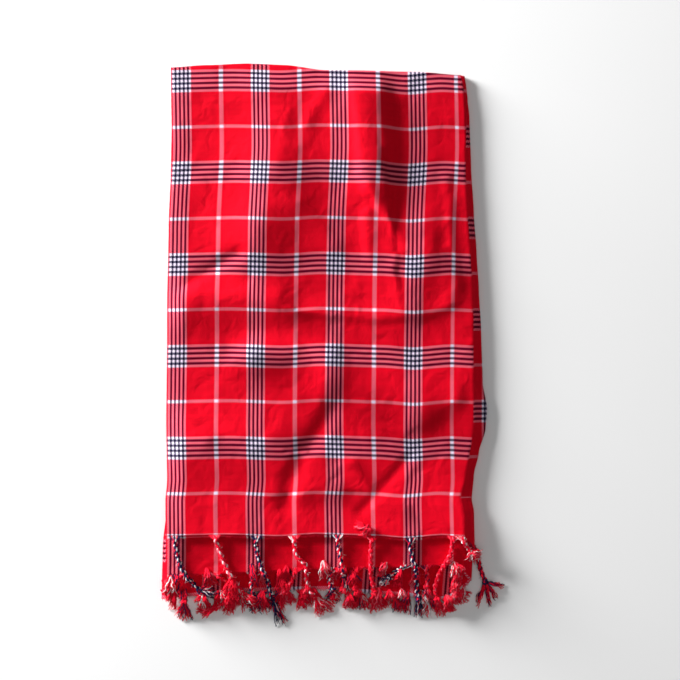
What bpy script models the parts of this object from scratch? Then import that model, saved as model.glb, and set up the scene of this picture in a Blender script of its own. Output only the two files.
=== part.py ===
"""A Maasai shuka: one length of plaid cloth with a knotted fringe at both ends, folded in four.

The cloth is folded crosswise at its far edge and then lengthwise, like a book, at its right edge.
It lies on its back layer, with the front face up. Metres, +Z up, +Y towards the crosswise fold.
Everything is first laid out from the near left corner of the front layer, in millimetres,
and moved at the end so that the origin is at the centre of the part's footprint.
"""

from math import cos, exp, hypot, pi, sin, sqrt

import bmesh
import bpy
from mathutils import Vector

MM = 0.001

# The folded cloth, in millimetres.
CLOTH_WIDTH = 1090.0
SHEET = 1.4
LAYER_PITCH = 3.2
STACK_MIDDLE = 1.5 * LAYER_PITCH
NARROWEST_STRIP = 0.5
PARTED = 0.3

# Distance across the flat cloth at which each stretch of the folded cloth starts and ends.
FLAT_SPANS = {"front": (0, 528), "strip": (528, 545), "bend": (545, 549), "back": (549, CLOTH_WIDTH)}

# How far the front layer stands above a tight stack, and where that fades, in millimetres.
BASE_RELIEF = 5.0
LEAST_RELIEF = 0.4
STRIP_RELIEF = 7.0
STRIP_SLOPE = 0.45
STRIP_MARGIN = 5.0
FRONT_CREASE_FADE = (0.0, 70.0)
CREASES_FADE = (2.0, 34.0)
SELVEDGE_FADE = (-4.0, 34.0)
SELVEDGE_SHARE = 0.3
TOP_FADE = (0.0, 45.0)
TOP_SHARE = 0.25
FRINGE_LIFT = 13.5
FRINGE_LIFT_FADE = (-120.0, 22.0)
EASED_SHARE = 0.6

# The fringe, in millimetres.
HEADING_DEPTH = 5.0
ROOT_DEPTH = 3.0
CORD_RADIUS = 4.6
THIRD_CORD_RADIUS = 3.45
UNDER_CORD_RADIUS = 2.6
CORD_CLEARANCE = 0.9
CORD_STEP = 12.0
TWIST_PER_STEP = 0.75
LEAVING_STEPS = 2
ROOT_TAPER = 0.5
KNOT_SHARE = 1.25
LOCK_SHARE = 0.62
LOCK_TAPER = 0.55
LOCK_STEPS = (0.0, 0.4, 0.7, 1.0)
SIDE_LOCK_SHORTER = 4.0

# Colours, as linear red, green and blue.
PLAID_RED = (0.78, 0.004, 0.03)
YARN_RED = (0.72, 0.006, 0.035)
YARN_NAVY = (0.25, 0.006, 0.06)

# How many faces the folded sheet has along each stretch.
FRONT_COLUMNS = 24
STRIP_COLUMNS = 2
BEND_COLUMNS = 4
BACK_COLUMNS = 8
FRONT_ROWS = 34
FOLD_ROWS = 4
BACK_ROWS = 13

# Outlines of the folded cloth. Each row: (position along the edge, position of the edge), in mm.
TOP_FOLD = ((0, 838), (60, 842), (140, 845), (210, 842), (281, 833), (450, 830), (530, 824), (560, 822))
LEFT_SELVEDGE = ((-120, -3), (0, -2), (63, -3), (100, 0), (207, -2), (423, 0), (549, 2), (697, 8), (840, 6))
BACK_SELVEDGE = ((-120, -11), (-20, -9), (40, -3), (200, 3), (500, 3), (840, 8))
FRONT_CREASE = (
    (-120, 531), (0, 531), (32, 531), (54, 528), (68, 524), (108, 534), (135, 539), (171, 545),
    (207, 548), (387, 548), (441, 546), (504, 543), (571, 538), (648, 534), (729, 535), (783, 533), (840, 524),
)
OUTER_FOLD = (
    (-120, 547), (-18, 551), (43, 550), (65, 546), (108, 550), (149, 559), (191, 571), (227, 574),
    (274, 566), (369, 563), (441, 559), (506, 555), (578, 550), (662, 545), (751, 542), (790, 538), (840, 532),
)

# Ends of the cloth. Each row: (distance across the flat cloth, position of the end), in mm.
FIRST_END = ((0, 0), (110, 2), (200, -1), (265, 3), (370, 0), (425, -4), (490, 1), (528, -1), (547, -18), (1090, -25))
SECOND_END = (
    (0, -70), (86, -67), (160, -63), (240, -58), (430, -54), (505, -50), (546, -80), (575, -108),
    (600, -115), (680, -106), (800, -96), (940, -99), (1020, -107), (1090, -113),
)

# Main creases of the upper layers, in mm.
# Each row: (height, half width on the left, half width on the right, points along the crease).
CREASES = (
    (6.5, 34, 14, ((331, 828), (340, 765), (346, 710), (349, 640), (360, 617))),
    (8.0, 24, 60, ((376, 838), (376, 760), (388, 690))),
    (9.0, 24, 150, ((376, 838), (376, 760), (384, 700))),
    (5.0, 20, 60, ((384, 640), (392, 560), (404, 500))),
    (3.0, 26, 40, ((462, 660), (470, 610), (476, 560))),
    (11.0, 70, 60, ((186, 668), (172, 620), (166, 570), (160, 520))),
    (4.0, 26, 18, ((300, 524), (262, 560), (236, 590))),
    (14.0, 32, 52, ((-4, 420), (60, 424), (120, 420), (190, 412))),
    (3.8, 20, 14, ((230, 404), (301, 396), (380, 390), (466, 398), (500, 410))),
    (8.0, 44, 44, ((452, 540), (446, 500), (440, 460), (434, 424))),
    (6.0, 46, 30, ((282, 268), (220, 306), (164, 330))),
    (11.0, 30, 40, ((160, 326), (226, 334), (286, 322))),
    (14.0, 100, 56, ((170, 156), (80, 162), (0, 150))),
    (12.0, 46, 44, ((440, 244), (364, 262), (312, 284))),
    (5.5, 20, 30, ((524, 244), (490, 236), (456, 206))),
    (-5.5, 17, 15, ((292, 226), (272, 190), (238, 144), (218, 96), (212, 54))),
    (6.5, 24, 40, ((300, 84), (262, 86), (234, 80))),
    (8.0, 26, 34, ((470, 500), (500, 478), (520, 456))),
    (6.0, 40, 46, ((176, 806), (190, 780), (200, 756))),
    (6.0, 44, 50, ((168, 560), (204, 600), (196, 640))),
)

# Tassels. Each row: (points of the twisted cord from its root, tip of the brush, spread of the brush), in mm.
FRONT_TASSELS = (
    (((14, -3), (22, -45), (36, -72), (47, -85), (58, -98)), (88, -108), 20),
    (((86, -3), (95, -27), (106, -54), (124, -86), (133, -101)), (150, -133), 26),
    (((160, -3), (162, -31), (171, -59), (180, -81), (187, -112)), (203, -160), 22),
    (((227, -3), (232, -34), (248, -52), (251, -88), (264, -110)), (282, -142), 30),
    (((304, -3), (310, -36), (316, -70)), (319, -99), 13),
    (((367, -3), (364, -36), (365, -68), (371, -103)), (382, -134), 30),
    (((434, -5), (437, -32), (445, -58), (446, -80), (449, -112)), (451, -148), 16),
    (((511, -3), (507, -30), (496, -50), (485, -72), (479, -96), (483, -112)), (492, -146), 20),
    (((526, -4), (534, -17), (542, -29)), (559, -48), 20),
    (((551, -21), (557, -42), (562, -62), (571, -84)), (580, -124), 38),
)
SECOND_TASSELS = (
    (((18, -72), (20, -92), (30, -117)), (34, -152), 22),
    (((84, -70), (108, -86), (112, -106), (98, -122), (84, -131)), (60, -143), 14),
    (((163, -66), (150, -88), (155, -108)), (163, -136), 18),
    (((232, -62), (222, -82), (214, -98)), (212, -124), 16),
    (((300, -58), (290, -78), (296, -96)), (306, -120), 18),
    (((342, -58), (334, -78), (338, -94)), (342, -120), 16),
    (((428, -57), (412, -62), (396, -74)), (386, -90), 12),
    (((462, -56), (466, -76), (464, -92)), (462, -116), 14),
    (((522, -66), (524, -82), (518, -96)), (524, -124), 16),
)
THIRD_TASSELS = (
    (((62, -109), (68, -118)), (74, -132), 10),
    (((122, -103), (116, -112)), (112, -131), 12),
    (((176, -100), (172, -112)), (176, -132), 10),
    (((240, -98), (238, -110)), (240, -134), 12),
    (((322, -98), (324, -110)), (322, -131), 12),
    (((404, -103), (408, -114)), (410, -138), 12),
    (((500, -115), (504, -124)), (512, -138), 10),
)

# The hidden tassels of the bottom layer lie straight out, alike but for their place across.
UNDER_ROOTS = (30, 100, 170, 240, 310, 380, 450, 520)
UNDER_ROUTE = ((0, -25), (2, -48), (-1, -74))
UNDER_TIP = (0, -92)
UNDER_SPREAD = 9


def blend(a, b, fraction):
    return a + (b - a) * fraction


def smooth(value, start, end):
    """Rises from 0 at start to 1 at end, level at both."""
    f = min(1.0, max(0.0, (value - start) / (end - start)))
    return f * f * (3 - 2 * f)


def read(table, position):
    """The value that a table of (position, value) rows has at a position, eased between its rows."""
    if position <= table[0][0]:
        return table[0][1]
    for (p0, v0), (p1, v1) in zip(table, table[1:]):
        if position <= p1:
            f = (position - p0) / (p1 - p0)
            return blend(v0, v1, blend(f, smooth(f, 0, 1), EASED_SHARE))
    return table[-1][1]


def nearest_on(points, x, y):
    """Distance to a line of points in plan, and the side: positive on its right as it is followed."""
    best = (1e9, 1.0)
    for (x0, y0), (x1, y1) in zip(points, points[1:]):
        dx, dy = x1 - x0, y1 - y0
        f = min(1.0, max(0.0, ((x - x0) * dx + (y - y0) * dy) / (dx * dx + dy * dy)))
        away = hypot(x - x0 - f * dx, y - y0 - f * dy)
        if away < best[0]:
            best = (away, (x - x0) * dy - (y - y0) * dx)
    return best


def creases_at(x, y):
    """Sum of the creases at a place, each a soft ridge or trough."""
    height = 0.0
    for rise, left_width, right_width, points in CREASES:
        away, side = nearest_on(points, x, y)
        width = right_width if side > 0 else left_width
        height += rise * exp(-((away / width) ** 2))
    return height


def bend_axis(y):
    """Where the lengthwise fold turns: the outer layer's radius inside the outer edge."""
    return read(OUTER_FOLD, y) - STACK_MIDDLE - SHEET / 2


def relief(x, y):
    """How much higher the front layer lies here than a tight stack would. Lower layers take their share."""
    crease = read(FRONT_CREASE, y)
    axis = bend_axis(y)
    at_crease = min(STRIP_RELIEF, STRIP_SLOPE * max(0.0, axis + STRIP_MARGIN - crease))
    if x >= crease:
        height = at_crease * max(0.0, 1 - (x - crease) / max(axis - crease, 1.0))
    else:
        height = blend(at_crease, BASE_RELIEF, smooth(crease - x, *FRONT_CREASE_FADE))
        height += creases_at(x, y) * smooth(crease - x, *CREASES_FADE)
        height *= blend(SELVEDGE_SHARE, 1.0, smooth(x, *SELVEDGE_FADE))
    height *= blend(TOP_SHARE, 1.0, smooth(read(TOP_FOLD, x) - y, *TOP_FADE))
    return max(LEAST_RELIEF, height) + FRINGE_LIFT * smooth(-y, *FRINGE_LIFT_FADE)


def layer_height(x, y, level):
    """Height of a layer's middle above the bottom layer's middle. Levels count up from 0 at the bottom."""
    return level * LAYER_PITCH + relief(x, y) * level / 3


def across_the_fold(stretch, f, y, offset):
    """The place across and the height, before relief, of a column at this y.

    offset is how far outside the middle of the folded pair a layer lies.
    """
    crease = read(FRONT_CREASE, y)
    axis = max(bend_axis(y), crease + NARROWEST_STRIP)
    radius = LAYER_PITCH + offset
    angle = {"front": 0.0, "strip": 0.0, "bend": pi * f, "back": pi}[stretch]
    if stretch == "front":
        x = blend(read(LEFT_SELVEDGE, y), crease, f)
    elif stretch == "strip":
        x = blend(crease, axis, f)
    elif stretch == "bend":
        x = axis + radius * sin(angle)
    else:
        x = blend(axis, read(BACK_SELVEDGE, y), f)
    return x, radius * cos(angle) + STACK_MIDDLE


def cloth_point(column, row):
    """Middle of the sheet at a column and a row, in mm."""
    stretch, f = column
    part, g = row
    across = blend(*FLAT_SPANS[stretch], f)
    top = read(TOP_FOLD, min(across, CLOTH_WIDTH - across))
    half_pitch = LAYER_PITCH / 2
    if part == "first":
        y, offset = blend(read(FIRST_END, across), top, g), half_pitch
    elif part == "turn":
        y, offset = top + half_pitch * sin(pi * g), half_pitch * cos(pi * g)
    else:
        y, offset = blend(top, read(SECOND_END, across), g), -half_pitch
    x, height = across_the_fold(stretch, f, min(y, top), offset)
    share = height / (3 * LAYER_PITCH)
    return Vector((x, y, height + relief(x, min(y, top)) * share))


def steps(stretch, count, first=1):
    return [(stretch, i / count) for i in range(first, count + 1)]


def new_material(name, colour, roughness):
    material = bpy.data.materials.new(name)
    material.use_nodes = True
    shader = material.node_tree.nodes["Principled BSDF"]
    shader.inputs["Base Color"].default_value = (*colour, 1)
    shader.inputs["Roughness"].default_value = roughness
    shader.inputs["Metallic"].default_value = 0.0
    return material


def put_in(collection, thing):
    for old in list(thing.users_collection):
        old.objects.unlink(thing)
    collection.objects.link(thing)


def make_cloth(collection, material):
    """The whole woven length as one sheet, folded in four."""
    columns = steps("front", FRONT_COLUMNS, 0) + steps("strip", STRIP_COLUMNS)
    columns += steps("bend", BEND_COLUMNS) + steps("back", BACK_COLUMNS)
    rows = steps("first", FRONT_ROWS, 0) + steps("turn", FOLD_ROWS) + steps("second", BACK_ROWS)
    bpy.ops.mesh.primitive_grid_add(x_subdivisions=len(columns) - 1, y_subdivisions=len(rows) - 1, size=1)
    cloth = bpy.context.object
    cloth.name = "shuka_cloth"
    cloth.data.name = "shuka_cloth"
    for vertex in cloth.data.vertices:
        column = columns[round((vertex.co.x + 0.5) * (len(columns) - 1))]
        row = rows[round((vertex.co.y + 0.5) * (len(rows) - 1))]
        vertex.co = cloth_point(column, row) * MM
    cloth.data.materials.append(material)
    thickness = cloth.modifiers.new("Woven thickness", "SOLIDIFY")
    thickness.thickness = SHEET * MM
    thickness.offset = 0
    thickness.use_even_offset = True
    cloth.data.shade_smooth()
    put_in(collection, cloth)
    return cloth


def end_line(level):
    """Points of one layer's end, from left to right. The two ends of the cloth share the four layers."""
    if level > 1:
        columns = steps("front", FRONT_COLUMNS, 0) + steps("strip", STRIP_COLUMNS)
    else:
        columns = steps("back", BACK_COLUMNS, 0)
    if level == 3:
        columns += steps("bend", BEND_COLUMNS)[: BEND_COLUMNS // 2]
    row = ("second", 1.0) if level in (1, 2) else ("first", 0.0)
    return sorted((cloth_point(column, row) for column in columns), key=lambda point: point.x)


END_LINES = {}


def end_at(level, x):
    """The point of a layer's end at a place across."""
    if level not in END_LINES:
        END_LINES[level] = end_line(level)
    line = END_LINES[level]
    for a, b in zip(line, line[1:]):
        if x <= b.x:
            return a.lerp(b, min(1.0, max(0.0, (x - a.x) / max(b.x - a.x, 1e-6))))
    return line[-1].copy()


def cover_height(x, y, radius, below):
    """Top of the highest layer under a cord, looking only at layers lower than one level."""
    floor = -SHEET / 2
    for level in range(below):
        inside = read(BACK_SELVEDGE, y) - radius < x < read(OUTER_FOLD, y) + radius
        if inside and y > end_at(level, x).y - PARTED - HEADING_DEPTH - radius:
            floor = max(floor, layer_height(x, max(y, end_at(level, x).y), level) + SHEET / 2)
    return floor


def rest_height(x, y, radius, below, lying):
    """Lowest centre height at which a cord lies on the layers and the cords that are already there."""
    cover = cover_height(x, y, radius, below)
    height = cover + radius + (CORD_CLEARANCE if cover > 0 else 0)
    for cx, cy, cz, other in lying:
        reach = radius + other + CORD_CLEARANCE
        apart = hypot(x - cx, y - cy)
        if apart < reach:
            height = max(height, cz + sqrt(reach * reach - apart * apart))
    return height


def highest_of_three(heights):
    """Each height raised to its neighbours', so that a straight run between two points clears an edge."""
    return [max(heights[max(0, i - 1) : i + 2]) for i in range(len(heights))]


def along(points, step):
    """Points every step along a smooth curve through a cord's own points."""
    ends = [points[0]] + list(points) + [points[-1]]
    found = []
    for a, b, c, d in zip(ends, ends[1:], ends[2:], ends[3:]):
        count = max(1, round(hypot(c[0] - b[0], c[1] - b[1]) / step))
        for i in range(count):
            t = i / count
            found.append(tuple(
                0.5 * (2 * q + (r - p) * t + (2 * p - 5 * q + 4 * r - s) * t * t + (3 * q - p - 3 * r + s) * t**3)
                for p, q, r, s in zip(a, b, c, d)
            ))
    return found + [tuple(points[-1])]


def cord_mesh(points, radii, name):
    """A twisted cord of four sides through 3-D points, as a closed mesh."""
    curve = bpy.data.curves.new(name, "CURVE")
    curve.dimensions = "3D"
    curve.bevel_depth = MM
    curve.bevel_resolution = 0
    curve.use_fill_caps = True
    spline = curve.splines.new("POLY")
    spline.points.add(len(points) - 1)
    for i, (point, place, radius) in enumerate(zip(spline.points, points, radii)):
        point.co = (*(Vector(place) * MM), 1)
        point.radius = radius
        point.tilt = i * TWIST_PER_STEP
    guide = bpy.data.objects.new(name, curve)
    bpy.context.scene.collection.objects.link(guide)
    bpy.context.view_layer.update()
    mesh = bpy.data.meshes.new_from_object(guide.evaluated_get(bpy.context.evaluated_depsgraph_get()))
    bpy.data.objects.remove(guide)
    return mesh


def add_closed(target, mesh):
    """Adds a closed mesh to a bmesh, with its caps welded and its faces turned out."""
    piece = bmesh.new()
    piece.from_mesh(mesh)
    bmesh.ops.remove_doubles(piece, verts=piece.verts, dist=1e-6)
    bmesh.ops.recalc_face_normals(piece, faces=piece.faces)
    piece.to_mesh(mesh)
    piece.free()
    target.from_mesh(mesh)
    bpy.data.meshes.remove(mesh)


def add_knot(target, centre, radius):
    ball = bmesh.new()
    bmesh.ops.create_icosphere(ball, subdivisions=1, radius=radius * MM)
    bmesh.ops.translate(ball, verts=ball.verts, vec=Vector(centre) * MM)
    mesh = bpy.data.meshes.new("knot")
    ball.to_mesh(mesh)
    ball.free()
    target.from_mesh(mesh)
    bpy.data.meshes.remove(mesh)


def centres_of(points, radii):
    """Balls along a strand, at its points and halfway between them, for later strands to lie over."""
    balls = [(*point, radius) for point, radius in zip(points, radii)]
    for a, b, radius in zip(points, points[1:], radii):
        balls.append((*[(p + q) / 2 for p, q in zip(a, b)], radius))
    return balls


def add_cord(target, route, radius, level, lying, step):
    """The twisted cord of a tassel, from the heading of its layer. It gives back its points."""
    root = end_at(level, route[0][0])
    root.z = max(root.z, (radius - SHEET) / 2)
    path = along(((route[0][0], root.y - ROOT_DEPTH), *route[1:]), step)
    heights = highest_of_three([rest_height(x, y, radius, level, lying) for x, y in path])
    points, radii = [], []
    for i, ((x, y), height) in enumerate(zip(path, heights)):
        leaving = smooth(i, 0, LEAVING_STEPS)
        points.append((x, y, blend(root.z, height, leaving)))
        radii.append(radius * blend(ROOT_TAPER, 1.0, leaving))
    add_closed(target, cord_mesh(points, radii, "cord"))
    return points


def add_lock(target, start, end, thickness, level, lying):
    """A loose lock of yarn from a knot to the place where it ends. It gives back its points."""
    places = [(blend(start[0], end[0], f), blend(start[1], end[1], f)) for f in LOCK_STEPS]
    heights = highest_of_three([rest_height(*place, thickness, level, lying) for place in places])
    heights[0] = max(heights[0], start[2])
    points = [(*place, height) for place, height in zip(places, heights)]
    radii = [thickness] * (len(points) - 1) + [thickness * LOCK_TAPER]
    add_closed(target, cord_mesh(points, radii, "lock"))
    return points


def add_tassel(target, tassel, radius, level, lying, locks, step):
    """One tassel: a twisted cord from the heading, a knot, and a brush of loose locks.

    It gives back the centres and radii of what it laid down, so that the next cords lie over them.
    """
    route, tip, spread = tassel
    cord = add_cord(target, route, radius, level, lying, step)
    laid = centres_of(cord, [radius] * len(cord))
    x, y, cord_height = cord[-1]
    knot = radius * KNOT_SHARE
    knot_height = max(rest_height(x, y, knot, level, lying), cord_height)
    add_knot(target, (x, y, knot_height), knot)
    laid.append((x, y, knot_height, knot))
    side = Vector((tip[1] - y, x - tip[0])).normalized() * spread / 2
    thickness = radius * LOCK_SHARE
    for lock in locks:
        end = (tip[0] + side.x * lock, tip[1] + side.y * lock + abs(lock) * SIDE_LOCK_SHORTER)
        points = add_lock(target, (x, y, cord_height), end, thickness, level, lying)
        laid += centres_of(points, [thickness] * len(points))
    return laid


def make_heading(name, level, material):
    """The narrow strip of cloth that the tassels are made from, just past the end of its layer."""
    line = end_line(level)
    count = len(line) - 1
    bpy.ops.mesh.primitive_grid_add(x_subdivisions=count, y_subdivisions=1, size=1)
    heading = bpy.context.object
    heading.name = name
    heading.data.name = name
    for vertex in heading.data.vertices:
        edge = line[round((vertex.co.x + 0.5) * count)]
        parted = PARTED + (HEADING_DEPTH if vertex.co.y < 0 else 0)
        vertex.co = (edge - Vector((0, parted, 0))) * MM
    heading.data.materials.append(material)
    thickness = heading.modifiers.new("Woven thickness", "SOLIDIFY")
    thickness.thickness = SHEET * MM
    thickness.offset = 0
    return heading


def make_fringe(name, level, tassels, radius, lying, collections, material, locks, step):
    """A heading with its tassels, fused at their roots into one body.

    locks are the places of a brush's locks, from -1 at one side to 1 at the other.
    """
    parts, helpers = collections
    heading = make_heading(name, level, material)
    put_in(parts, heading)
    strands = bmesh.new()
    laid = []
    for tassel in tassels:
        laid += add_tassel(strands, tassel, radius, level, lying + laid, locks, step)
    mesh = bpy.data.meshes.new(name + "_strands")
    strands.to_mesh(mesh)
    strands.free()
    helper = bpy.data.objects.new(name + "_strands", mesh)
    helper.hide_render = True
    helper.display_type = "WIRE"
    helpers.objects.link(helper)
    fuse = heading.modifiers.new("Fused roots", "BOOLEAN")
    fuse.operation = "UNION"
    fuse.solver = "EXACT"
    fuse.use_self = True
    fuse.object = helper
    return laid


def under_tassels():
    """Rows for the hidden tassels, in the form of the tables of the others."""
    rows = []
    for root in UNDER_ROOTS:
        route = tuple((root + x, y) for x, y in UNDER_ROUTE)
        rows.append((route, (root + UNDER_TIP[0], UNDER_TIP[1]), UNDER_SPREAD))
    return rows


def centre_on_footprint(things, helpers):
    """Moves all so that the origin is at the bottom centre of the part's box."""
    bpy.context.view_layer.update()
    graph = bpy.context.evaluated_depsgraph_get()
    corners = []
    for thing in things:
        evaluated = thing.evaluated_get(graph)
        mesh = evaluated.to_mesh()
        corners += [evaluated.matrix_world @ vertex.co for vertex in mesh.vertices]
        evaluated.to_mesh_clear()
    low = Vector([min(corner[axis] for corner in corners) for axis in range(3)])
    high = Vector([max(corner[axis] for corner in corners) for axis in range(3)])
    shift = Vector((-(low.x + high.x) / 2, -(low.y + high.y) / 2, -low.z))
    for thing in list(things) + list(helpers):
        for vertex in thing.data.vertices:
            vertex.co += shift
    print("moved by", [round(value, 5) for value in shift], "size", [round(v, 4) for v in high - low])


def main():
    for thing in list(bpy.data.objects):
        bpy.data.objects.remove(thing)
    parts = bpy.data.collections.new("Maasai shuka")
    helpers = bpy.data.collections.new("Strands")
    helpers.hide_render = True
    bpy.context.scene.collection.children.link(parts)
    bpy.context.scene.collection.children.link(helpers)
    plaid = new_material("Red plaid twill", PLAID_RED, 0.75)
    yarn = new_material("Red fringe yarn", YARN_RED, 0.85)
    navy = new_material("Navy and red fringe yarn", YARN_NAVY, 0.85)

    cloth = make_cloth(parts, plaid)
    both = (parts, helpers)
    rows = (
        ("fringe_under", 0, under_tassels(), UNDER_CORD_RADIUS, yarn, (0,), 2 * CORD_STEP),
        ("fringe_third", 1, THIRD_TASSELS, THIRD_CORD_RADIUS, yarn, (-1, 1), CORD_STEP),
        ("fringe_second", 2, SECOND_TASSELS, CORD_RADIUS, navy, (-1, 0, 1), CORD_STEP),
        ("fringe_front", 3, FRONT_TASSELS, CORD_RADIUS, navy, (-1, 0, 1), CORD_STEP),
    )
    laid = []
    for name, level, tassels, radius, material, locks, step in rows:
        laid += make_fringe(name, level, tassels, radius, laid, both, material, locks, step)
    fringes = [thing for thing in parts.objects if thing is not cloth]
    centre_on_footprint([cloth] + fringes, helpers.objects)


main()
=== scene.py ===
# %% [markdown]
# # A folded Maasai shuka
#
# A shuka is one length of plaid twill, worn as a wrap. This one is folded in four, and its warp is
# twisted and knotted into a fringe at both ends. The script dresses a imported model: it loads the plain
# solids, then makes the cloth and the yarn that are seen around them, in metres, with +Z up.

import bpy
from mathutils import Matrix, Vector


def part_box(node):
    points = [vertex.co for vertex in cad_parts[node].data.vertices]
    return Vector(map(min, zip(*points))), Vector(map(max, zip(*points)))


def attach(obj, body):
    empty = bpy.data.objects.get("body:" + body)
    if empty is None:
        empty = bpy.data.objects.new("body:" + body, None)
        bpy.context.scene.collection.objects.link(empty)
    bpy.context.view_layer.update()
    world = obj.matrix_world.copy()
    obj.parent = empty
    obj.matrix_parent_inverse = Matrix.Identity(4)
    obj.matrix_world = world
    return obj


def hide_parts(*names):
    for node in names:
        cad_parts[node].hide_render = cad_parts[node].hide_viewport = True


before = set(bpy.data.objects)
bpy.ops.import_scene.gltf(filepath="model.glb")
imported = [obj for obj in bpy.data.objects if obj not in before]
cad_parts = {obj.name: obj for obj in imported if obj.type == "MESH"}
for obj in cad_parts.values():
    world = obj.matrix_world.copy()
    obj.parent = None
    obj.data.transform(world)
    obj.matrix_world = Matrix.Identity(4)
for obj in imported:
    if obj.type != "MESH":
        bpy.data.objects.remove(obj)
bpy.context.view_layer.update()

# %% Modules and units
import random
from math import cos, exp, hypot, pi, sin, sqrt

import bpy
from mathutils import Euler, Vector
from mathutils.bvhtree import BVHTree

MM = 0.001
print("one millimetre in metres:", MM)

# %% [markdown]
# ## Small helpers
#
# Shapes that follow an edge are read from short tables, with one row for each bend of the edge. A blend
# between two rows that is partly eased and partly straight keeps such an edge free of sharp corners
# without making it wavy.

# %% Blends and tables
EASED_SHARE = 0.6


def blend(a, b, fraction):
    return a + (b - a) * fraction


def smooth(value, start, end):
    """Rises from 0 at start to 1 at end, level at both."""
    f = min(1.0, max(0.0, (value - start) / (end - start)))
    return f * f * (3 - 2 * f)


def read(table, position):
    """The value of a table of (position, value) rows at a position."""
    if position <= table[0][0]:
        return table[0][1]
    for (p0, v0), (p1, v1) in zip(table, table[1:]):
        if position <= p1:
            f = (position - p0) / (p1 - p0)
            return blend(v0, v1, blend(f, smooth(f, 0, 1), EASED_SHARE))
    return table[-1][1]


print("a quarter of the way from 0 to 10:", read(((0, 0), (4, 10)), 1))


# %% Distance to a line of points
def nearest_on(points, x, y):
    """Distance to a line of points in plan, and the side: positive on its right as it is followed."""
    best = (float("inf"), 1.0)
    for (x0, y0), (x1, y1) in zip(points, points[1:]):
        dx, dy = x1 - x0, y1 - y0
        f = min(1.0, max(0.0, ((x - x0) * dx + (y - y0) * dy) / (dx * dx + dy * dy)))
        away = hypot(x - x0 - f * dx, y - y0 - f * dy)
        if away < best[0]:
            best = (away, (x - x0) * dy - (y - y0) * dx)
    return best


print("3 to the right of a line:", nearest_on(((0, 0), (0, 10)), 3, 5)[0])

# %% [markdown]
# ## Camera
#
# The cloth is seen square on, from straight above. A long lens three metres away keeps the far edges
# from shrinking. One photo pixel covers 1.8 mm of cloth, so the frame is 1.22 m wide.

# %% Camera
PHOTO_PIXEL = 1.8 * MM
FRAME_PIXELS = 680
CAMERA_HEIGHT = 3.0
SENSOR_MM = 36.0
FRAME_CENTRE = (0.0153, 0.0075)

camera_data = bpy.data.cameras.new("Camera above")
camera_data.sensor_width = SENSOR_MM
camera_data.lens = SENSOR_MM * CAMERA_HEIGHT / (FRAME_PIXELS * PHOTO_PIXEL)
camera = bpy.data.objects.new("Camera above", camera_data)
camera.location = (*FRAME_CENTRE, CAMERA_HEIGHT)
bpy.context.scene.collection.objects.link(camera)
bpy.context.scene.camera = camera
print("lens, mm:", round(camera_data.lens, 1))

# %% [markdown]
# ## Folding a sheet in four
#
# A cloth can be folded by simulation, but a crease in a stack of four is easier to place by a rule. The
# rule takes a place on the flat cloth and gives its place in the stack. It works in millimetres from the
# near left corner of the front layer. First the length is folded crosswise, over a small half circle at
# the far edge. That pair is then bent round an axis at the right, so the corner where both folds meet
# comes out as a quarter of a ring. Each layer is a little above the one below it.

# %% Sizes of the cloth and its stack, in mm
CLOTH_WIDTH = 1090.0
CLOTH_LENGTH = 1785.0
SOLID_SHEET = 1.4
LAYER_PITCH = 3.2
STACK_MIDDLE = 1.5 * LAYER_PITCH
STACK_HEIGHT = 3 * LAYER_PITCH
NARROWEST_STRIP = 0.5
print("a tight stack, mm:", STACK_HEIGHT + SOLID_SHEET)

# %% Outlines of the folded cloth: (position along the edge, position of the edge), in mm
TOP_FOLD = ((0, 838), (60, 842), (140, 845), (210, 842), (281, 833), (450, 830), (530, 824), (560, 822))
LEFT_SELVEDGE = (
    (-120, -3), (0, -2), (63, -3), (100, 0), (207, -2), (423, 0), (549, 2), (697, 8), (840, 6),
)
BACK_SELVEDGE = ((-120, -11), (-20, -9), (40, -3), (200, 3), (500, 3), (840, 8))
FRONT_CREASE = (
    (-120, 531), (0, 531), (32, 531), (54, 528), (68, 524), (108, 534), (135, 539), (171, 545), (207, 548),
    (387, 548), (441, 546), (504, 543), (571, 538), (648, 534), (729, 535), (783, 533), (840, 524),
)
OUTER_FOLD = (
    (-120, 547), (-18, 551), (43, 550), (65, 546), (108, 550), (149, 559), (191, 571), (227, 574), (274, 566),
    (369, 563), (441, 559), (506, 555), (578, 550), (662, 545), (751, 542), (790, 538), (840, 532),
)
print("folded cloth at mid height, mm:", read(OUTER_FOLD, 420) - read(LEFT_SELVEDGE, 420))

# %% Ends of the cloth: (distance across the flat cloth, position of the end), in mm
FIRST_END = (
    (0, 0), (110, 2), (200, -1), (265, 3), (370, 0), (425, -4), (490, 1), (528, -1), (547, -18), (1090, -25),
)
SECOND_END = (
    (0, -70), (86, -67), (160, -63), (240, -58), (430, -54), (505, -50), (546, -80), (575, -108),
    (600, -115), (680, -106), (800, -96), (940, -99), (1020, -107), (1090, -113),
)
print("the second layer reaches past the first by, mm:", FIRST_END[0][1] - SECOND_END[0][1])

# %% [markdown]
# ## Creases
#
# Thin cloth that was packed and shaken out keeps soft ridges. Each one here is a line of points with a
# height and two widths: the side that faces the light rises gently, and the far side falls faster, which
# is what makes its shade. A crease with a negative height is a trough. The widest rows are swells, where
# the cloth stands off the layer below and turns a broad patch of it towards the light or away.

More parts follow.
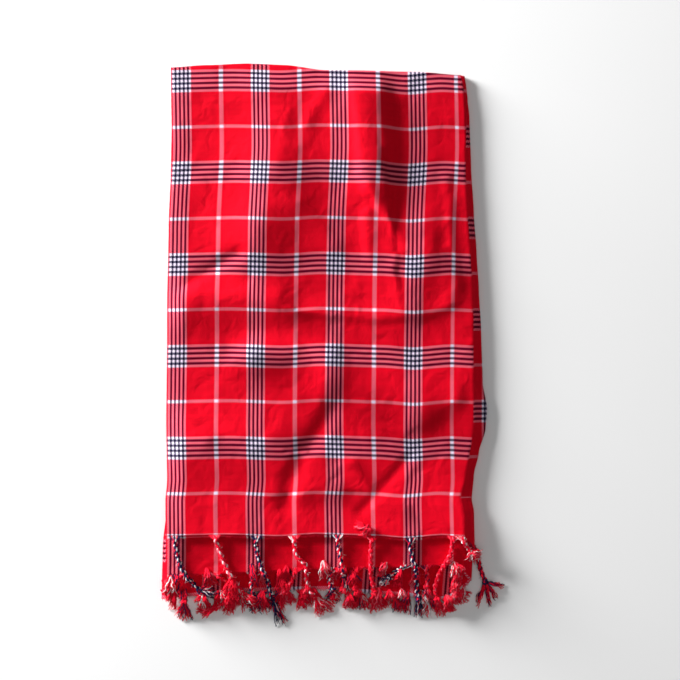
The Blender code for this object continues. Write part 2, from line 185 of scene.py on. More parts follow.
# %% Creases: (height, width on the left, width on the right, points), in mm
CREASES = (
    (6.5, 34, 9, ((331, 828), (340, 765), (346, 710), (349, 640), (360, 617))),
    (8.0, 24, 60, ((376, 838), (376, 760), (388, 690))),
    (9.0, 24, 150, ((376, 838), (376, 760), (384, 700))),
    (5.0, 20, 60, ((384, 640), (392, 560), (404, 500))),
    (3.4, 14, 10, ((360, 624), (378, 603), (400, 567), (423, 516))),
    (3.4, 14, 9, ((356, 576), (357, 540), (361, 500))),
    (3.0, 26, 40, ((462, 660), (470, 610), (476, 560))),
    (11.0, 70, 60, ((186, 668), (172, 620), (166, 570), (160, 520))),
    (4.0, 26, 18, ((300, 524), (262, 560), (236, 590))),
    (-4.4, 12, 12, ((27, 446), (76, 477), (126, 504))),
    (14.0, 32, 52, ((-4, 420), (60, 424), (120, 420), (190, 412))),
    (3.8, 20, 9, ((230, 404), (301, 396), (380, 390), (466, 398), (500, 410))),
    (8.0, 44, 44, ((452, 540), (446, 500), (440, 460), (434, 424))),
    (6.0, 46, 30, ((282, 268), (220, 306), (164, 330))),
    (11.0, 30, 40, ((160, 326), (226, 334), (286, 322))),
    (14.0, 100, 56, ((170, 156), (80, 162), (0, 150))),
    (4.0, 18, 18, ((70, 176), (40, 204), (7, 232))),
    (12.0, 46, 44, ((440, 244), (364, 262), (312, 284))),
    (5.5, 20, 30, ((524, 244), (490, 236), (456, 206))),
    (-5.5, 17, 15, ((292, 226), (272, 190), (238, 144), (218, 96), (212, 54))),
    (6.5, 24, 40, ((300, 84), (262, 86), (234, 80))),
    (5.0, 17, 12, ((424, 48), (366, 80), (328, 126))),
    (-3.6, 10, 10, ((430, 138), (390, 92), (346, 45))),
    (8.0, 26, 34, ((470, 500), (500, 478), (520, 456))),
    (3.0, 12, 10, ((500, 640), (506, 590), (508, 520))),
    (-3.0, 10, 12, ((30, 640), (14, 646), (0, 648))),
    (3.0, 14, 12, ((285, 800), (262, 765), (250, 740))),
    (6.0, 40, 46, ((176, 806), (190, 780), (200, 756))),
    (6.0, 44, 50, ((168, 560), (204, 600), (196, 640))),
)
print("creases:", len(CREASES))

# %% How far the front layer stands above a tight stack, and where that fades, in mm
BASE_RELIEF = 5.0
LEAST_RELIEF = 0.4
STRIP_RELIEF = 7.0
STRIP_SLOPE = 0.45
STRIP_MARGIN = 5.0
FRONT_CREASE_FADE = (0, 70)
CREASES_FADE = (2, 34)
SELVEDGE_FADE = (-4, 34)
SELVEDGE_SHARE = 0.3
TOP_FADE = (0, 45)
TOP_SHARE = 0.25
FRINGE_LIFT = 13.5
FRINGE_LIFT_FADE = (-120, 22)
CREASE_REACH = 3
print("most relief without a crease, mm:", BASE_RELIEF + FRINGE_LIFT)


# %% Height of the creases at a place
def creases_at(x, y):
    """Sum of the creases. Past a few widths a crease adds nothing that shows."""
    height = 0.0
    for rise, left_width, right_width, points in CREASES:
        away, side = nearest_on(points, x, y)
        width = right_width if side > 0 else left_width
        if away < CREASE_REACH * width:
            height += rise * exp(-((away / width) ** 2))
    return height


print("creases near the middle, mm:", round(creases_at(270, 420), 1))


# %% Relief of the front layer
def bend_axis(y):
    """Where the lengthwise fold turns, inside its outer edge."""
    return read(OUTER_FOLD, y) - STACK_MIDDLE - SOLID_SHEET / 2


def relief(x, y):
    """How much higher the front layer lies here than a tight stack would. Lower layers take their share."""
    crease = read(FRONT_CREASE, y)
    axis = bend_axis(y)
    at_crease = min(STRIP_RELIEF, STRIP_SLOPE * max(0.0, axis + STRIP_MARGIN - crease))
    if x >= crease:
        height = at_crease * max(0.0, 1 - (x - crease) / max(axis - crease, 1.0))
    else:
        height = blend(at_crease, BASE_RELIEF, smooth(crease - x, *FRONT_CREASE_FADE))
        height += creases_at(x, y) * smooth(crease - x, *CREASES_FADE)
        height *= blend(SELVEDGE_SHARE, 1.0, smooth(x, *SELVEDGE_FADE))
    height *= blend(TOP_SHARE, 1.0, smooth(read(TOP_FOLD, x) - y, *TOP_FADE))
    return max(LEAST_RELIEF, height) + FRINGE_LIFT * smooth(-y, *FRINGE_LIFT_FADE)


print("relief at the front end, mm:", round(relief(270, 0), 1))


# %% The lengthwise fold: where a column of the sheet lies, and how far across the flat cloth it is
def fold_start(y):
    return max(bend_axis(y), read(FRONT_CREASE, y) + NARROWEST_STRIP)


def across_the_fold(stretch, f, y, offset):
    """The place across and the height, before relief, of a column at this y."""
    crease, axis = read(FRONT_CREASE, y), fold_start(y)
    radius = LAYER_PITCH + offset
    angle = {"front": 0.0, "strip": 0.0, "bend": pi * f, "back": pi}[stretch]
    if stretch == "front":
        x = blend(read(LEFT_SELVEDGE, y), crease, f)
    elif stretch == "strip":
        x = blend(crease, axis, f)
    elif stretch == "bend":
        x = axis + radius * sin(angle)
    else:
        x = blend(axis, read(BACK_SELVEDGE, y), f)
    return x, radius * cos(angle) + STACK_MIDDLE


def flat_across(stretch, f, x, y, offset):
    """Distance from the left selvedge, measured along the sheet."""
    edge = read(LEFT_SELVEDGE, y)
    if stretch in ("front", "strip"):
        return x - edge
    start = fold_start(y) - edge
    half_turn = (LAYER_PITCH + offset) * pi
    if stretch == "bend":
        return start + half_turn * f
    return blend(start + half_turn, CLOTH_WIDTH, f)


print("the fold starts to turn at, mm:", round(fold_start(420), 1))

# %% From the flat cloth to the stack
# Each stretch of the sheet covers a span of the flat cloth's width, in mm.
FLAT_SPANS = {"front": (0, 528), "strip": (528, 545), "bend": (545, 549), "back": (549, CLOTH_WIDTH)}


def cloth_point(column, row):
    """Place in the stack, and place on the flat cloth, of one point of the sheet, in mm."""
    stretch, f = column
    part, g = row
    across = blend(*FLAT_SPANS[stretch], f)
    top = read(TOP_FOLD, min(across, CLOTH_WIDTH - across))
    first_end = read(FIRST_END, across)
    half_pitch = LAYER_PITCH / 2
    if part == "first":
        y, offset = blend(first_end, top, g), half_pitch
        flat = g * (top - first_end) if stretch == "front" else y
    elif part == "turn":
        y, offset = top + half_pitch * sin(pi * g), half_pitch * cos(pi * g)
        flat = top - first_end + half_pitch * pi * g
    else:
        second_end = read(SECOND_END, across)
        y, offset = blend(top, second_end, g), -half_pitch
        flat = CLOTH_LENGTH - (1 - g) * (top - second_end)
    x, height = across_the_fold(stretch, f, min(y, top), offset)
    share = height / STACK_HEIGHT
    place = Vector((x, y, height + relief(x, min(y, top)) * share))
    return place, (flat_across(stretch, f, x, y, offset), flat)


print("middle of the front layer, mm:", [round(v, 1) for v in cloth_point(("front", 0.5), ("first", 0.5))[0]])

# %% [markdown]
# ## The cloth as one fine sheet
#
# A grid is the plainest start for a woven sheet, because its rows and columns can follow the threads.
# Each grid point is moved to its place in the stack, and its place on the flat cloth is kept as a UV map
# in metres. The plaid is later drawn in that map, so it runs on over every fold. The grid is finer where
# the cloth shows and coarse inside the stack.

# %% Columns and rows of the sheet
FRONT_COLUMNS = 118
BACK_COLUMNS = 34
FOLD_STEPS = 8
FRONT_ROWS = 202
BACK_ROWS = 64
BACK_ROW_POWER = 1.8


def steps(stretch, count, first=1, power=1.0):
    """Places along a stretch of the sheet, closer together towards its end where the power is over 1."""
    return [(stretch, 1 - (1 - i / count) ** power) for i in range(first, count + 1)]


columns = steps("front", FRONT_COLUMNS, 0) + steps("strip", FOLD_STEPS)
columns += steps("bend", FOLD_STEPS) + steps("back", BACK_COLUMNS)
rows = steps("first", FRONT_ROWS, 0) + steps("turn", FOLD_STEPS)
rows += steps("second", BACK_ROWS, 1, BACK_ROW_POWER)
print("columns and rows:", len(columns), len(rows))

# %% Grid of the sheet, with every point moved to its place in the stack
bpy.ops.mesh.primitive_grid_add(x_subdivisions=len(columns) - 1, y_subdivisions=len(rows) - 1, size=1)
cloth = bpy.context.object
cloth.name = "plaid_cloth"
cloth.data.name = "plaid_cloth"
face_columns = [int((face.center.x + 0.5) * (len(columns) - 1)) for face in cloth.data.polygons]
flat_places = []
for vertex in cloth.data.vertices:
    column = columns[round((vertex.co.x + 0.5) * (len(columns) - 1))]
    row = rows[round((vertex.co.y + 0.5) * (len(rows) - 1))]
    place, flat_place = cloth_point(column, row)
    vertex.co = place * MM
    flat_places.append(flat_place)
print("sheet faces:", len(cloth.data.polygons))

# %% UV map of the flat cloth, in metres
# In the strip beyond the front crease the plaid sits a little further along than on the front layer.
BACK_SHIFT = 66.0

flat_map = cloth.data.uv_layers[0]
flat_map.name = "Flat cloth"
for face in cloth.data.polygons:
    shift = BACK_SHIFT if face_columns[face.index] >= FRONT_COLUMNS else 0.0
    for loop in face.loop_indices:
        across, lengthwise = flat_places[cloth.data.loops[loop].vertex_index]
        flat_map.data[loop].uv = (across * MM, (lengthwise - shift) * MM)
print("longest place on the flat cloth, mm:", round(max(place[1] for place in flat_places), 1))

# %% Move the sheet onto its solid
solid_low, solid_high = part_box("shuka_cloth")
own_low = Vector([min(v.co[axis] for v in cloth.data.vertices) for axis in range(3)])
own_high = Vector([max(v.co[axis] for v in cloth.data.vertices) for axis in range(3)])
corner = Vector((
    (solid_low[0] + solid_high[0] - own_low.x - own_high.x) / 2,
    solid_high[1] - own_high.y - SOLID_SHEET * MM / 2,
    SOLID_SHEET * MM / 2,
))
for vertex in cloth.data.vertices:
    vertex.co += corner
print("corner of the front layer, m:", [round(value, 4) for value in corner])

# %% Give the sheet its thickness
SHEET_THICKNESS = 1.0

thickness = cloth.modifiers.new("Woven thickness", "SOLIDIFY")
thickness.thickness = SHEET_THICKNESS * MM
thickness.offset = 0
bpy.context.view_layer.objects.active = cloth
bpy.ops.object.modifier_apply(modifier=thickness.name)
cloth.data.shade_smooth()
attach(cloth, "root")
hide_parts("shuka_cloth")
print("closed sheet faces:", len(cloth.data.polygons))

# %% [markdown]
# ## Nodes and colours
#
# Every finish below is built from nodes. One function adds a node, sets it and links it, and another
# turns the sRGB hex codes that a designer reads off a screen into the linear values that light needs.


# %% Node helper
def add_node(tree, kind, inputs=None, **settings):
    """Adds a node and gives its first output. An input is a value, or an output of another node."""
    made = tree.nodes.new(kind)
    for name, value in settings.items():
        setattr(made, name, value)
    for name, value in (inputs or {}).items():
        if isinstance(name, str):
            socket = next(s for s in made.inputs if s.name == name and s.enabled)
        else:
            socket = made.inputs[name]
        if isinstance(value, bpy.types.NodeSocket):
            tree.links.new(value, socket)
        else:
            socket.default_value = value
    return next(s for s in made.outputs if s.enabled)


print("kinds of shader node:", sum(name.startswith("ShaderNode") for name in dir(bpy.types)))


# %% Colours and new materials
def linear(hex_code):
    """sRGB hex to linear RGBA."""
    parts = [int(hex_code[i : i + 2], 16) / 255 for i in (1, 3, 5)]
    return (*[p / 12.92 if p <= 0.04045 else ((p + 0.055) / 1.055) ** 2.4 for p in parts], 1.0)


def new_material(name):
    material = bpy.data.materials.new(name)
    material.use_nodes = True
    return material, material.node_tree, material.node_tree.nodes["Principled BSDF"]


print("middle grey, linear:", round(linear("#808080")[0], 3))

# %% [markdown]
# ## Plaid twill
#
# The real cloth is a 2/2 twill of dyed cotton and acrylic yarn: each warp end passes over two picks and
# under two, one step further in each row. So the plaid isn't printed. It comes from the order of dyed
# yarns both ways, and where navy and white cross, the weave itself draws small hound's teeth. The finish
# repeats that: it counts the warp ends and the picks, gives each its dye, and lets the twill choose which
# of the two is on top. A single yarn is finer than a pixel. Yarns are taken as four to a line of the plaid,
# which puts them 0.925 mm apart across and 1.125 mm apart along.

# %% Dyes and yarn counts
# Each order of yarns repeats in groups of white and navy lines, four yarns to a line, with one white line
# halfway between two groups. Lengths are from the middle of a group to its edge.
RED = linear("#D80036")
WHITE = linear("#DCD2DE")
NAVY = linear("#0D0C3C")
END_PITCH = 0.925 * MM
PICK_PITCH = 1.125 * MM
YARNS_PER_LINE = 4
WARP = {
    "repeat": 140.5 * MM,
    "centre": 19.5 * MM,
    "line": YARNS_PER_LINE * END_PITCH,
    "half": 16.65 * MM,
    "single": 3.5 * MM,
}
WEFT = {
    "repeat": 164.0 * MM,
    "centre": 158.0 * MM,
    "line": YARNS_PER_LINE * PICK_PITCH,
    "half": 20.25 * MM,
    "single": 2.9 * MM,
}
print("ends in the width:", round(CLOTH_WIDTH * MM / END_PITCH))


# %% Dye of one set of yarns
def dye_of(tree, yarn_place, order):
    """Red ground, with groups of white and navy lines and a single white line between groups."""
    half = order["repeat"] / 2
    away = add_node(tree, "ShaderNodeMath", {0: yarn_place, 1: order["centre"]}, operation="SUBTRACT")
    away = add_node(tree, "ShaderNodeMath", {0: away, 1: half, 2: -half}, operation="WRAP")
    away = add_node(tree, "ShaderNodeMath", {0: away}, operation="ABSOLUTE")
    line = add_node(tree, "ShaderNodeMath", {0: away, 1: 1 / order["line"], 2: 0.5}, operation="MULTIPLY_ADD")
    line = add_node(tree, "ShaderNodeMath", {0: line}, operation="FLOOR")
    odd = add_node(tree, "ShaderNodeMath", {0: line, 1: 2.0}, operation="MODULO")
    in_group = add_node(tree, "ShaderNodeMath", {0: away, 1: order["half"]}, operation="LESS_THAN")
    single_start = half - order["single"]
    in_single = add_node(tree, "ShaderNodeMath", {0: away, 1: single_start}, operation="GREATER_THAN")
    lined = add_node(tree, "ShaderNodeMix", {"Factor": odd, "A": WHITE, "B": NAVY}, data_type="RGBA")
    dyed = add_node(tree, "ShaderNodeMix", {"Factor": in_group, "A": RED, "B": lined}, data_type="RGBA")
    return add_node(tree, "ShaderNodeMix", {"Factor": in_single, "A": dyed, "B": WHITE}, data_type="RGBA")


print("lines in a group:", [round(2 * order["half"] / order["line"]) for order in (WARP, WEFT)])


# %% One set of yarns: which yarn, its middle, and the height of its round side
def yarns_of(tree, place, pitch):
    count = add_node(tree, "ShaderNodeMath", {0: place, 1: pitch}, operation="DIVIDE")
    number = add_node(tree, "ShaderNodeMath", {0: count}, operation="FLOOR")
    middle = add_node(tree, "ShaderNodeMath", {0: number, 1: pitch, 2: pitch / 2}, operation="MULTIPLY_ADD")
    part = add_node(tree, "ShaderNodeMath", {0: count}, operation="FRACT")
    turn = add_node(tree, "ShaderNodeMath", {0: part, 1: pi}, operation="MULTIPLY")
    roundness = add_node(tree, "ShaderNodeMath", {0: turn}, operation="SINE")
    return number, middle, roundness


print("picks in the length:", round(CLOTH_LENGTH * MM / PICK_PITCH))

# %% Picks near the two ends of the cloth
# The last picks before each end are plain red, but for one white line close to the very end.
END_MARGIN = 15 * MM
END_LINE = 3.4 * MM
END_LINE_HALF = 1.4 * MM


def dye_of_picks(tree, pick_middle):
    half_length = CLOTH_LENGTH * MM / 2
    away = add_node(tree, "ShaderNodeMath", {0: pick_middle, 1: half_length}, operation="SUBTRACT")
    away = add_node(tree, "ShaderNodeMath", {0: away}, operation="ABSOLUTE")
    plain = add_node(tree, "ShaderNodeMath", {0: away, 1: half_length - END_MARGIN}, operation="GREATER_THAN")
    dye = dye_of(tree, pick_middle, WEFT)
    dye = add_node(tree, "ShaderNodeMix", {"Factor": plain, "A": dye, "B": RED}, data_type="RGBA")
    line = {0: pick_middle, 1: END_LINE, 2: END_LINE_HALF}
    line = add_node(tree, "ShaderNodeMath", line, operation="COMPARE")
    return add_node(tree, "ShaderNodeMix", {"Factor": line, "A": dye, "B": WHITE}, data_type="RGBA")


print("plain picks at each end:", round(END_MARGIN / PICK_PITCH))

# %% The twill: which yarn is on top, and the dye that shows
# A yarn takes up some dye from the yarns that it crosses, so white turns pink on the red ground.
TWILL_REPEAT = 4.0
LAST_OVER = 1.5
NEIGHBOUR_TINT = 0.7
DYE_STRENGTH = 0.7


def warp_over_weft(tree, end, pick):
    """1 where the warp end lies over the pick, and 0 where it lies under."""
    step = add_node(tree, "ShaderNodeMath", {0: end, 1: pick}, operation="ADD")
    step = add_node(tree, "ShaderNodeMath", {0: step, 1: TWILL_REPEAT}, operation="MODULO")
    return add_node(tree, "ShaderNodeMath", {0: step, 1: LAST_OVER}, operation="LESS_THAN")


def woven_dye(tree, warp_on_top, warp_dye, weft_dye):
    """Dye of the yarn on top, tinted by the one below."""
    top = {"Factor": warp_on_top, "A": weft_dye, "B": warp_dye}
    top = add_node(tree, "ShaderNodeMix", top, data_type="RGBA")
    below = {"Factor": warp_on_top, "A": warp_dye, "B": weft_dye}
    below = add_node(tree, "ShaderNodeMix", below, data_type="RGBA")
    below = add_node(tree, "ShaderNodeVectorMath", {0: below, "Scale": 1 / DYE_STRENGTH}, operation="SCALE")
    tint = {"Factor": NEIGHBOUR_TINT, "A": top, "B": below}
    return add_node(tree, "ShaderNodeMix", tint, data_type="RGBA", blend_type="MULTIPLY")


print("the twill repeats every, mm:", TWILL_REPEAT * END_PITCH / MM)

# %% Small differences of dye from yarn to yarn
SHADE_LEAST = 0.92
SHADE_RANGE = 0.16


def yarn_shade(tree, warp_on_top, end, pick):
    end_shade = add_node(tree, "ShaderNodeTexWhiteNoise", {"W": end}, noise_dimensions="1D")
    pick_shade = add_node(tree, "ShaderNodeTexWhiteNoise", {"W": pick}, noise_dimensions="1D")
    shade = {"Factor": warp_on_top, "A": pick_shade, "B": end_shade}
    shade = add_node(tree, "ShaderNodeMix", shade, data_type="FLOAT")
    shade = {0: shade, 1: SHADE_RANGE, 2: SHADE_LEAST}
    return add_node(tree, "ShaderNodeMath", shade, operation="MULTIPLY_ADD")


print("darkest and lightest yarn:", SHADE_LEAST, SHADE_LEAST + SHADE_RANGE)

# %% Relief too fine for the mesh: limp patches, crumples and the round yarns
# The noise scales are one over the real size of a patch. The yarns' own roundness is under a pixel wide
# in the main view, and shows only close up.
PATCH_SIZE = 76.92 * MM
PATCH_HEIGHT = 8.0 * MM
CRUMPLE_SIZE = 23.81 * MM
CRUMPLE_HEIGHT = 3.4 * MM
YARN_HEIGHT = 0.12 * MM
BUMP_STRENGTH = 0.6


def woven_relief(tree, flat, warp_on_top, end_round, pick_round):
    patches = {"Vector": flat, "Scale": 1 / PATCH_SIZE, "Detail": 2.0, "Distortion": 0.8}
    patches = add_node(tree, "ShaderNodeTexNoise", patches)
    crumples = {"Vector": flat, "Scale": 1 / CRUMPLE_SIZE, "Detail": 4.0, "Distortion": 0.6}
    crumples = add_node(tree, "ShaderNodeTexNoise", crumples)
    yarns = {"Factor": warp_on_top, "A": pick_round, "B": end_round}
    yarns = add_node(tree, "ShaderNodeMix", yarns, data_type="FLOAT")
    normal = None
    for height, distance in ((patches, PATCH_HEIGHT), (crumples, CRUMPLE_HEIGHT), (yarns, YARN_HEIGHT)):
        bump = {"Height": height, "Distance": distance, "Strength": BUMP_STRENGTH}
        if normal:
            bump["Normal"] = normal
        normal = add_node(tree, "ShaderNodeBump", bump)
    return normal


print("crumples across the cloth:", round(CLOTH_WIDTH * MM / CRUMPLE_SIZE))

# %% Plaid twill, yarn-dyed and woven two over two
# Soft spun yarn scatters light, so the cloth is matt, with hardly a highlight. Its fibres catch a little
# light at a low angle, in the colour of the dye, and that is the sheen.
def plaid_twill():
    material, tree, shader = new_material("Yarn-dyed cotton twill, woven two over two")
    flat = add_node(tree, "ShaderNodeUVMap", uv_map="Flat cloth")
    across = add_node(tree, "ShaderNodeSeparateXYZ", {"Vector": flat})
    lengthwise = across.node.outputs["Y"]
    end, end_middle, end_round = yarns_of(tree, across, END_PITCH)
    pick, pick_middle, pick_round = yarns_of(tree, lengthwise, PICK_PITCH)
    warp_on_top = warp_over_weft(tree, end, pick)
    dye = woven_dye(tree, warp_on_top, dye_of(tree, end_middle, WARP), dye_of_picks(tree, pick_middle))
    shade = yarn_shade(tree, warp_on_top, end, pick)
    shaded = add_node(tree, "ShaderNodeVectorMath", {0: dye, "Scale": shade}, operation="SCALE")
    tree.links.new(shaded, shader.inputs["Base Color"])
    relieved = woven_relief(tree, flat, warp_on_top, end_round, pick_round)
    tree.links.new(relieved, shader.inputs["Normal"])
    shader.inputs["Roughness"].default_value = 0.78
    shader.inputs["Specular IOR Level"].default_value = 0.06
    shader.inputs["Sheen Weight"].default_value = 0.08
    shader.inputs["Sheen Roughness"].default_value = 0.45
    shader.inputs["Sheen Tint"].default_value = linear("#FF2840")
    return material


cloth.data.materials.clear()
cloth.data.materials.append(plaid_twill())
print("cloth material:", cloth.data.materials[0].name)

# %% [markdown]
# ## Yarn of the fringe
#
# The fringe is the cloth's own warp, so it has the same three dyes, and some white yarn has taken up red.
# Spun acrylic is matt, with a soft sheen at its edges from fine fibres that stand off it. Along each yarn
# the spinning twist shows as slanting grooves, which a wave texture gives.

# %% Yarn materials
YARN_DYES = {"r": "#EE0730", "p": "#F4586E", "w": "#EFE3E6", "n": "#17133E"}
YARN_NAMES = {"r": "red", "p": "pink", "w": "white", "n": "navy"}
UNEVEN_SIZE = 3.846 * MM
UNEVEN_LEAST = 0.72
UNEVEN_RANGE = 0.5
GROOVE_PITCH = 2.856 * MM
GROOVE_DEPTH = 0.2 * MM
# Grooves of real yarn are about a millimetre apart. That is too fine to show, so these are coarser.
# A wave texture has a band every 2 pi / 10 of a unit, divided by its scale.
WAVE_SCALE = 2 * pi / 10 / GROOVE_PITCH


def fringe_yarn(name, colour):
    """Matt spun yarn: uneven dye, grooves from its twist, and a sheen in its own colour."""
    material, tree, shader = new_material(f"Spun acrylic yarn, dyed {name}")
    place = add_node(tree, "ShaderNodeNewGeometry")
    uneven = add_node(tree, "ShaderNodeTexNoise", {"Vector": place, "Scale": 1 / UNEVEN_SIZE, "Detail": 3.0})
    shade = {0: uneven, 1: UNEVEN_RANGE, 2: UNEVEN_LEAST}
    shade = add_node(tree, "ShaderNodeMath", shade, operation="MULTIPLY_ADD")
    dyed = add_node(tree, "ShaderNodeVectorMath", {0: colour[:3], "Scale": shade}, operation="SCALE")
    tree.links.new(dyed, shader.inputs["Base Color"])
    grooves = {"Vector": place, "Scale": WAVE_SCALE, "Distortion": 3.0}
    grooves = add_node(tree, "ShaderNodeTexWave", grooves, bands_direction="DIAGONAL")
    groove = add_node(tree, "ShaderNodeBump", {"Height": grooves, "Distance": GROOVE_DEPTH, "Strength": 0.5})
    tree.links.new(groove, shader.inputs["Normal"])
    shader.inputs["Roughness"].default_value = 0.85
    shader.inputs["Specular IOR Level"].default_value = 0.2
    shader.inputs["Sheen Weight"].default_value = 0.25
    shader.inputs["Sheen Roughness"].default_value = 0.5
    shader.inputs["Sheen Tint"].default_value = colour
    return material


yarns = [fringe_yarn(YARN_NAMES[key], linear(code)) for key, code in YARN_DYES.items()]
print("yarns:", [material.name for material in yarns])

# %% [markdown]
# ## Tassels
#
# Each tassel is placed one by one, from its root to the tips of its brush, since no two lie alike. The rows
# name the dyes of the yarns in the cord, then the points of its route, then the tips where its loose yarn
# ends, each with its spread. The cord lies on whatever is under it: the height comes from a ray cast down
# onto the cloth, and from the cords that were laid before.

# %% Front tassels, in mm from the near left corner of the front layer: (dyes, route, ((tip, spread), ...))
FRONT_TASSELS = (
    (
        "nwnnrn",
        ((14, 0), (22, -45), (36, -72), (47, -85), (58, -98)),
        (((66, -106), 3), ((84, -92), 4), ((98, -106), 3), ((72, -84), 3), ((88, -114), 3)),
    ),
    (
        "rrrpwp",
        ((86, 0), (95, -27), (106, -54), (124, -86), (133, -101)),
        (((148, -132), 15), ((166, -124), 10)),
    ),
    (
        "nwnnrn",
        ((160, 0), (162, -31), (171, -59), (180, -81), (187, -112)),
        (((203, -158), 9), ((212, -160), 5)),
    ),
    (
        "rrrrwp",
        ((227, 0), (232, -34), (248, -52), (251, -88), (264, -110)),
        (((282, -140), 20), ((298, -132), 8)),
    ),
    ("nrnrwr", ((304, 0), (310, -36), (316, -70)), (((319, -99), 8),)),
    ("rrrrpr", ((367, 0), (364, -36), (365, -68), (371, -103)), (((382, -134), 20), ((396, -126), 8))),
    (
        "nnwnrn",
        ((434, -4), (437, -32), (445, -58), (446, -80), (449, -112)),
        (((451, -148), 9), ((460, -140), 6)),
    ),
    ("rrprrr", ((511, 0), (507, -30), (496, -50), (485, -72), (479, -96), (483, -112)), (((492, -146), 13),)),
    (
        "nrrrnr",
        ((551, -20), (557, -42), (562, -62), (571, -84)),
        (((554, -127), 5), ((578, -127), 4), ((591, -113), 4), ((603, -92), 4)),
    ),
)
CURLED_TASSELS = (
    ("rrrrpr", ((352, 2), (360, 9), (358, 17)), (((336, 22), 9), ((346, 8), 9), ((364, 6), 8))),
    ("rrprwr", ((524, 0), (533, -14), (543, -26)), (((560, -34), 10), ((556, -48), 9), ((540, -44), 8))),
)
print("tassels of the front layer:", len(FRONT_TASSELS + CURLED_TASSELS))

# %% Tassels of the three lower layers, in the same form
SECOND_TASSELS = (
    ("rnrrrn", ((18, -72), (20, -92), (30, -117)), (((34, -152), 11), ((18, -148), 8))),
    (
        "rprrrr",
        ((84, -70), (108, -86), (112, -106), (98, -122), (84, -131)),
        (((60, -143), 9), ((52, -136), 5)),
    ),
    ("nrnrwr", ((163, -66), (150, -88), (155, -108)), (((163, -136), 13), ((146, -130), 8))),
    ("rrrprr", ((232, -62), (222, -82), (214, -98)), (((212, -124), 11), ((226, -122), 8))),
    ("nwrrrn", ((300, -58), (290, -78), (296, -96)), (((306, -120), 11), ((288, -116), 8))),
    ("rrrrrr", ((342, -58), (334, -78), (338, -94)), (((342, -120), 10), ((352, -114), 7))),
    ("nwnrwn", ((428, -57), (412, -62), (396, -74)), (((386, -90), 8), ((378, -80), 6))),
    ("rrnrpr", ((462, -56), (466, -76), (464, -92)), (((462, -116), 10), ((472, -112), 7))),
    ("rrrrrp", ((522, -66), (524, -82), (518, -96)), (((524, -124), 12), ((540, -112), 10))),
)
THIRD_TASSELS = (
    ("rpr", ((6, -112), (5, -104), (3, -96)), (((-7, -78), 10), ((-9, -104), 9), ((4, -122), 9))),
    ("rrr", ((62, -109), (68, -118)), (((74, -132), 9), ((60, -130), 7))),
    ("rpr", ((122, -103), (116, -112)), (((112, -131), 10), ((126, -128), 7))),
    ("nrr", ((176, -100), (172, -112)), (((176, -132), 9), ((188, -126), 7))),
    ("rrr", ((240, -98), (238, -110)), (((240, -134), 10), ((252, -128), 7))),
    ("rpr", ((322, -98), (324, -110)), (((322, -131), 10), ((336, -128), 7))),
    ("rrn", ((404, -103), (408, -114)), (((410, -138), 11), ((424, -134), 8))),
    ("rrr", ((500, -115), (504, -124)), (((512, -138), 9), ((498, -138), 7))),
)
UNDER_ROOTS = (30, 100, 170, 240, 310, 380, 450, 520)
UNDER_TASSELS = [("rrr", ((x, -22), (x + 2, -48), (x - 1, -74)), (((x, -92), 5),)) for x in UNDER_ROOTS]
print("tassels below:", len(SECOND_TASSELS), len(THIRD_TASSELS), len(UNDER_TASSELS))

# %% [markdown]
# ## Where each row of tassels starts
#
# The fringe is the cloth's own warp, left long past the last pick, so each row starts on the edge of its
# own layer. The same rule that folds the sheet gives that edge, as a line of points for each layer.

# %% Ends of the four layers
# Levels count up from 0 at the bottom. The first end of the cloth is at levels 3 and 0.
FRONT_LEVEL = 3
END_STEPS = 40
END_STRIP_STEPS = 4


def end_line(level):
    """Points of one layer's end, from left to right."""
    if level > 1:
        end_columns = steps("front", END_STEPS, 0) + steps("strip", END_STRIP_STEPS)
    else:
        end_columns = steps("back", END_STEPS, 0)
    if level == FRONT_LEVEL:
        end_columns += steps("bend", FOLD_STEPS)[: FOLD_STEPS // 2]
    row = ("second", 1.0) if level in (1, 2) else ("first", 0.0)
    return sorted((cloth_point(column, row)[0] for column in end_columns), key=lambda point: point.x)


end_lines = {level: end_line(level) for level in range(FRONT_LEVEL + 1)}


def end_point(level, x):
    """The point of a layer's end at a place across."""
    line = end_lines[level]
    for a, b in zip(line, line[1:]):
        if x <= b.x:
            return a.lerp(b, min(1.0, max(0.0, (x - a.x) / max(b.x - a.x, 1e-6))))
    return line[-1].copy()


print("heights of the ends at the middle, mm:", [round(end_point(level, 270).z, 1) for level in end_lines])


# %% A smooth line through the points of a route
def along(points, step):
    """Points about one step apart on a smooth curve through the given points."""
    ends = [points[0], *points, points[-1]]
    found = []
    for a, b, c, d in zip(ends, ends[1:], ends[2:], ends[3:]):
        count = max(1, round(hypot(c[0] - b[0], c[1] - b[1]) / step))
        for i in range(count):
            t = i / count
            found.append(tuple(
                0.5 * (2 * q + (r - p) * t + (2 * p - 5 * q + 4 * r - s) * t * t)
                + 0.5 * (3 * q - p - 3 * r + s) * t**3
                for p, q, r, s in zip(a, b, c, d)
            ))
    return found + [tuple(points[-1])]


print("points on a 100 mm line:", len(along(((0, 0), (100, 0)), 4)))

# %% [markdown]
# ## How a cord lies and how it is twisted
#
# On the real cloth each bundle of warp is twisted into two plies and those are twisted back on each other,
# so the cord holds. Cords fall over the layers and over one another. A physics run would settle them
# somewhere, but the photo shows where each one lies, so only the height is worked out here.

# %% What a cord lies on, in mm
REST_GAP = 0.5
RAY_HEIGHT = 200.0
FLOOR_HEIGHT = -corner.z / MM

cloth_tree = BVHTree.FromPolygons(
    [(vertex.co - corner) / MM for vertex in cloth.data.vertices],
    [face.vertices for face in cloth.data.polygons],
)


